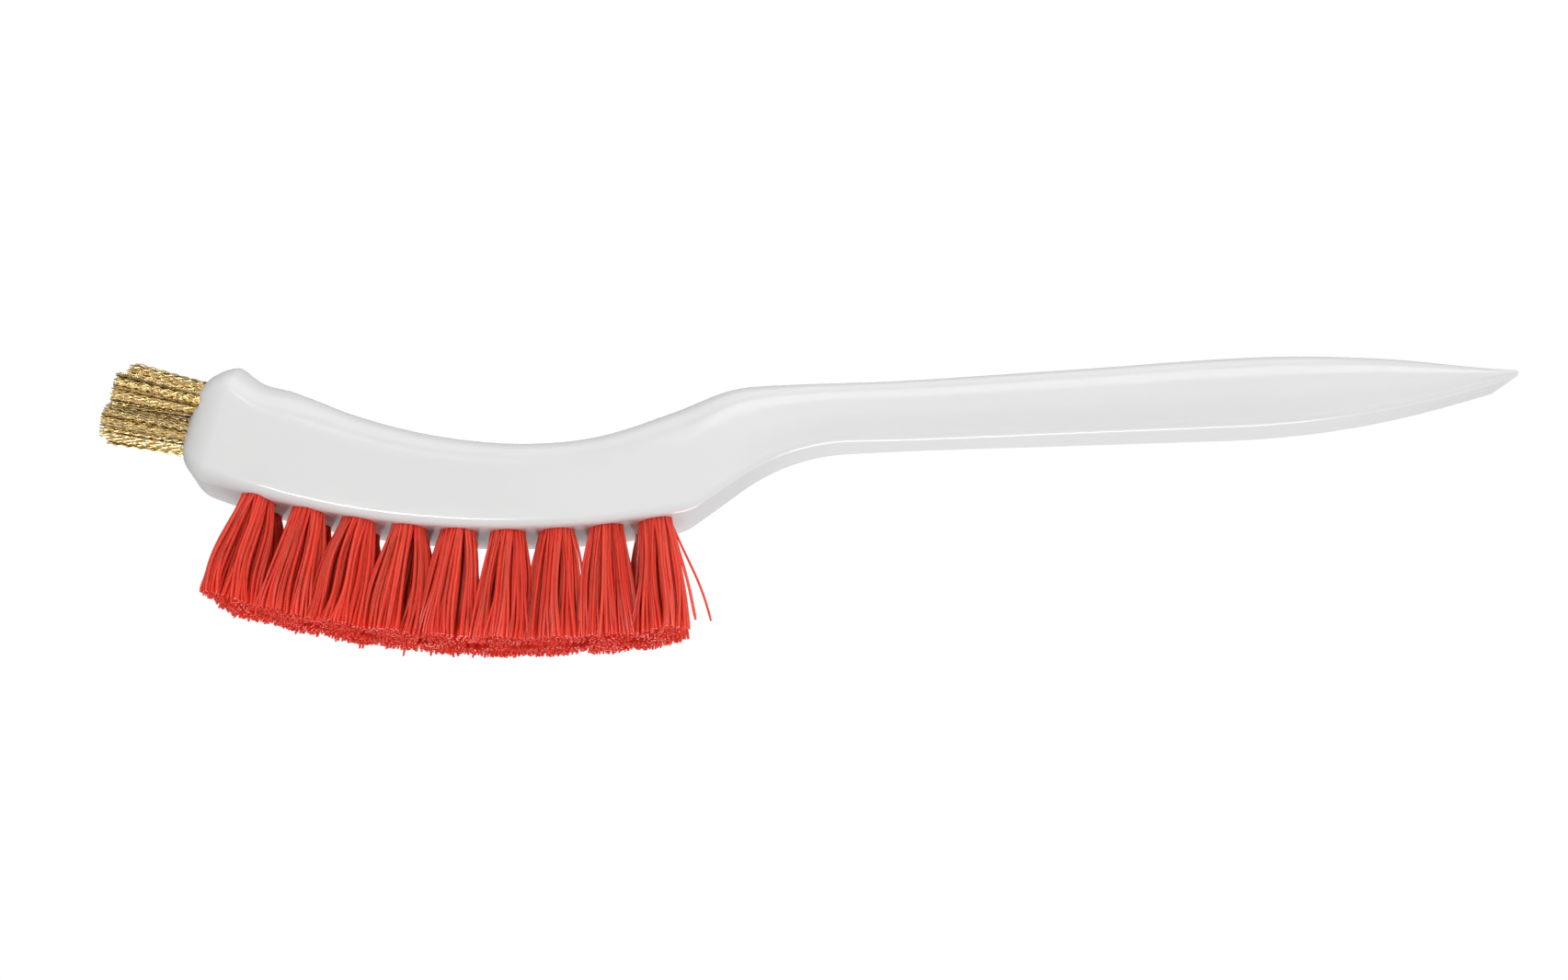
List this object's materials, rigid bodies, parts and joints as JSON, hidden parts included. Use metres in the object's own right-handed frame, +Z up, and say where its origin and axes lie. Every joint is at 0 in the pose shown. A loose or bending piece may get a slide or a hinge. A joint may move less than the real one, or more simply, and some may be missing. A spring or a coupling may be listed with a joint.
{
  "type": "wire brush",
  "caption": "Small detail brush: one white plastic handle with red nylon tufts under a curved head, stiff brass wire tufts in its nose, and a chisel tip.",
  "frame": {"origin": "centre of the whole brush's box, on the plane of its lowest bristle ends", "axes": "+X along the handle from the brass end to the chisel tip, +Z up from the bristle ends to the head, +Y across the head"},
  "size_m": [0.2092, 0.018, 0.0438],
  "materials": {
    "plastic": "moulded off-white polypropylene, semi-gloss, slightly translucent",
    "nylon": "red nylon filament, satin, with bright glints along each filament",
    "brass_wire": "fine crimped brass wire, bright drawn surface with dark cut ends",
    "steel": "galvanised steel strip",
    "brass_strip": "flat rolled brass strip"
  },
  "bodies": {
    "root": {"handle": "plastic", "nylon_tuft_near_1": "nylon", "nylon_tuft_near_2": "nylon", "nylon_tuft_near_3": "nylon", "nylon_tuft_near_4": "nylon", "nylon_tuft_near_5": "nylon", "nylon_tuft_near_6": "nylon", "nylon_tuft_near_7": "nylon", "nylon_tuft_near_8": "nylon", "nylon_tuft_near_9": "nylon", "nylon_tuft_far_1": "nylon", "nylon_tuft_far_2": "nylon", "nylon_tuft_far_3": "nylon", "nylon_tuft_far_4": "nylon", "nylon_tuft_far_5": "nylon", "nylon_tuft_far_6": "nylon", "nylon_tuft_far_7": "nylon", "nylon_tuft_far_8": "nylon", "nylon_tuft_far_9": "nylon", "nylon_anchor_near_1": "steel", "nylon_anchor_near_2": "steel", "nylon_anchor_near_3": "steel", "nylon_anchor_near_4": "steel", "nylon_anchor_near_5": "steel", "nylon_anchor_near_6": "steel", "nylon_anchor_near_7": "steel", "nylon_anchor_near_8": "steel", "nylon_anchor_near_9": "steel", "nylon_anchor_far_1": "steel", "nylon_anchor_far_2": "steel", "nylon_anchor_far_3": "steel", "nylon_anchor_far_4": "steel", "nylon_anchor_far_5": "steel", "nylon_anchor_far_6": "steel", "nylon_anchor_far_7": "steel", "nylon_anchor_far_8": "steel", "nylon_anchor_far_9": "steel", "brass_tuft_1": "brass_wire", "brass_tuft_2": "brass_wire", "brass_tuft_3": "brass_wire", "brass_tuft_4": "brass_wire", "brass_tuft_5": "brass_wire", "brass_anchor_1": "brass_strip", "brass_anchor_2": "brass_strip", "brass_anchor_3": "brass_strip", "brass_anchor_4": "brass_strip", "brass_anchor_5": "brass_strip"}
  },
  "joints": []
}
